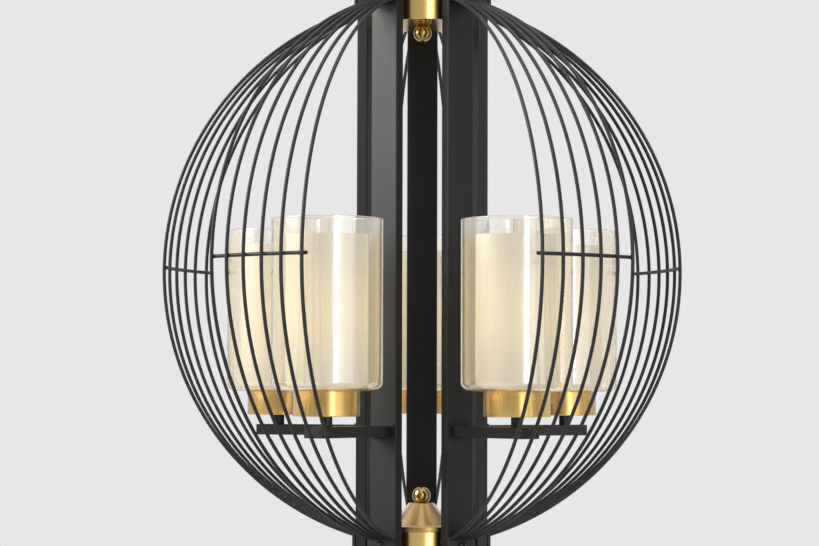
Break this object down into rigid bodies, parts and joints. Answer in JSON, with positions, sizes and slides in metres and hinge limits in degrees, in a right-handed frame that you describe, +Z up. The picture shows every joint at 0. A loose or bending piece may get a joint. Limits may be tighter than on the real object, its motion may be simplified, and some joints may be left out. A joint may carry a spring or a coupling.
{
  "type": "pendant lamp",
  "caption": "Lantern pendant: flat black pillars in an open globe of bent wires, brass drums at both ends and double-glass lamps on arms, hung on a swivel stem.",
  "frame": {"origin": "on the ceiling, at the middle of the canopy's rim", "axes": "+Z up along the lamp's axis; -Y towards the viewer, through the open sector between two lamps; +X to the viewer's right"},
  "size_m": [0.5926, 0.5696, 1.106],
  "materials": {
    "black_metal": "satin",
    "black_wire": "satin",
    "black_screw": "satin",
    "black_canopy": "satin",
    "champagne_glass": "polished",
    "opal_glass": "satin",
    "bulb_glass": "frosted",
    "satin_brass": "brushed",
    "polished_brass": "polished",
    "white_plastic": "gloss",
    "ring_steel": "satin",
    "zinc_steel": "plated"
  },
  "bodies": {
    "ceiling_fitting": {"canopy": "black_canopy", "canopy_nut": "polished_brass", "ceiling_bracket": "zinc_steel", "ceiling_nipple": "zinc_steel", "terminal_block": "white_plastic", "upper_fork": "polished_brass", "upper_swivel_pin": "polished_brass"},
    "swivel": {"swivel_link": "polished_brass"},
    "lamp": {"arm_1": "black_metal", "arm_2": "black_metal", "arm_3": "black_metal", "arm_4": "black_metal", "arm_5": "black_metal", "arm_screws": "black_screw", "bottom_knob": "polished_brass", "bottom_plate": "black_metal", "cage_panel_1": "black_wire", "cage_panel_2": "black_wire", "cage_panel_3": "black_wire", "cage_panel_4": "black_wire", "cage_panel_5": "black_wire", "cage_screws": "black_screw", "drum_balls": "polished_brass", "drum_nuts": "zinc_steel", "drum_spacers": "black_metal", "hanging_stem": "satin_brass", "inner_shade_1": "opal_glass", "inner_shade_2": "opal_glass", "inner_shade_3": "opal_glass", "inner_shade_4": "opal_glass", "inner_shade_5": "opal_glass", "lamp_cups": "satin_brass", "lamp_holders": "white_plastic", "lamp_stems": "black_metal", "lower_cap": "polished_brass", "lower_drum": "polished_brass", "lower_fork": "polished_brass", "lower_swivel_pin": "polished_brass", "outer_glass_1": "champagne_glass", "outer_glass_2": "champagne_glass", "outer_glass_3": "champagne_glass", "outer_glass_4": "champagne_glass", "outer_glass_5": "champagne_glass", "pillar_1": "black_metal", "pillar_2": "black_metal", "pillar_3": "black_metal", "pillar_4": "black_metal", "pillar_5": "black_metal", "plate_screws": "black_screw", "shade_rings": "ring_steel", "stem_collar": "polished_brass", "tie_rod_nuts": "zinc_steel", "tie_rods": "zinc_steel", "top_plate": "black_metal", "upper_drum": "polished_brass"},
    "bulb_1": {"bulb_1": "bulb_glass"},
    "bulb_2": {"bulb_2": "bulb_glass"},
    "bulb_3": {"bulb_3": "bulb_glass"},
    "bulb_4": {"bulb_4": "bulb_glass"},
    "bulb_5": {"bulb_5": "bulb_glass"}
  },
  "joints": [
    {"name": "swing_about_x", "type": "hinge", "parent": "ceiling_fitting", "child": "swivel", "pos_m": [0, 0, -0.066], "axis": [1, 0, 0], "range_deg": [-20, 20]},
    {"name": "swing_about_y", "type": "hinge", "parent": "swivel", "child": "lamp", "pos_m": [0, 0, -0.09], "axis": [0, 1, 0], "range_deg": [-20, 20]},
    {"name": "bulb_1_unscrew", "type": "slide", "parent": "lamp", "child": "bulb_1", "axis": [0, 0, 1], "range_m": [0, 0.03]},
    {"name": "bulb_2_unscrew", "type": "slide", "parent": "lamp", "child": "bulb_2", "axis": [0, 0, 1], "range_m": [0, 0.03]},
    {"name": "bulb_3_unscrew", "type": "slide", "parent": "lamp", "child": "bulb_3", "axis": [0, 0, 1], "range_m": [0, 0.03]},
    {"name": "bulb_4_unscrew", "type": "slide", "parent": "lamp", "child": "bulb_4", "axis": [0, 0, 1], "range_m": [0, 0.03]},
    {"name": "bulb_5_unscrew", "type": "slide", "parent": "lamp", "child": "bulb_5", "axis": [0, 0, 1], "range_m": [0, 0.03]}
  ]
}
